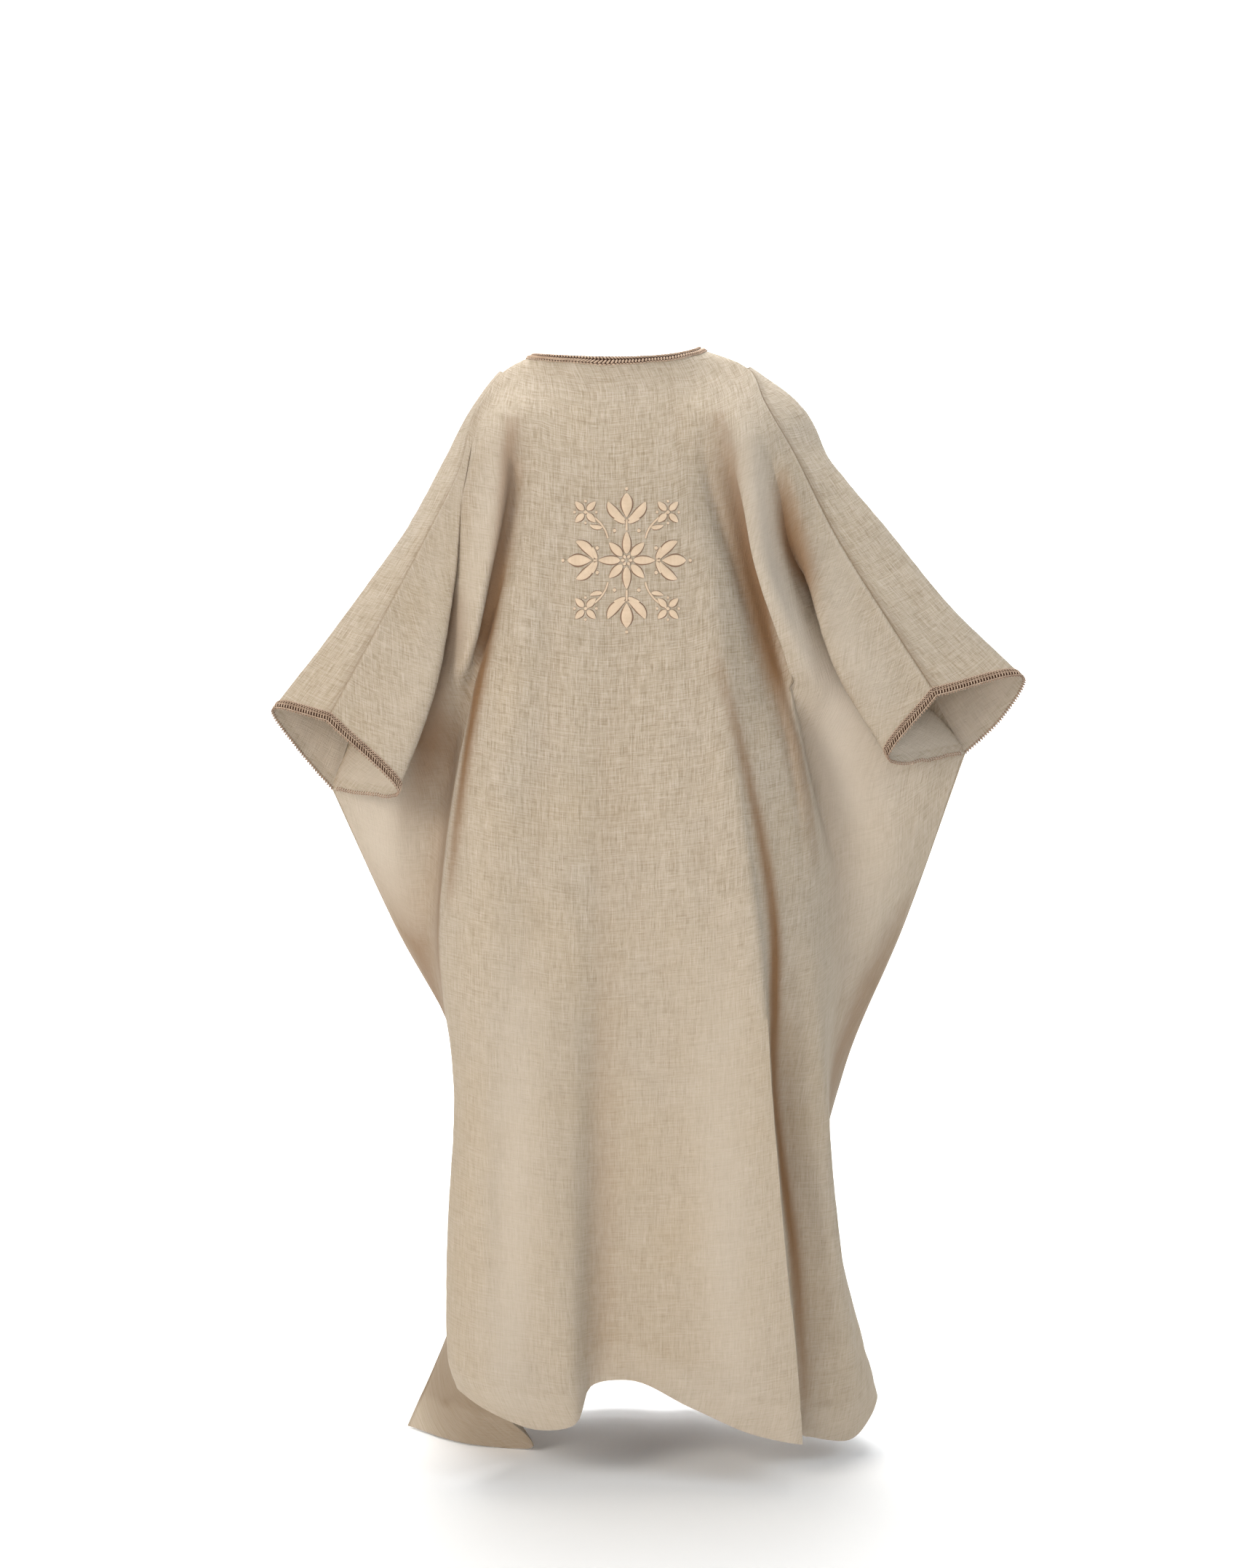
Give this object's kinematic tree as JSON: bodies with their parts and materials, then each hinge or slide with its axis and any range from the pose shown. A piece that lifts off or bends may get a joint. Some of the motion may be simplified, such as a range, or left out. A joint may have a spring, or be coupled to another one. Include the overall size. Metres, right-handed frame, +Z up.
{
  "type": "abaya",
  "caption": "Ankle-length wide-sleeved linen robe with a round neck, wing-like sides and braided neck and cuffs, hollow as worn with the arms held out.",
  "frame": {"origin": "base of the neck, in the middle between the shoulders, where the wearer's shoulders hold the garment", "axes": "+X the wearer's right, +Y the way the wearer faces, +Z up along the body"},
  "size_m": [1.034, 0.375, 1.5524],
  "materials": {
    "linen": "natural slubby linen, matt",
    "braid": "plaited cotton braid, matt"
  },
  "bodies": {
    "root": {"back_panel": "linen", "front_panel": "linen", "sleeve_band_left": "linen", "sleeve_band_right": "linen", "neck_braid": "braid", "cuff_braid_left": "braid", "cuff_braid_right": "braid"}
  },
  "joints": []
}
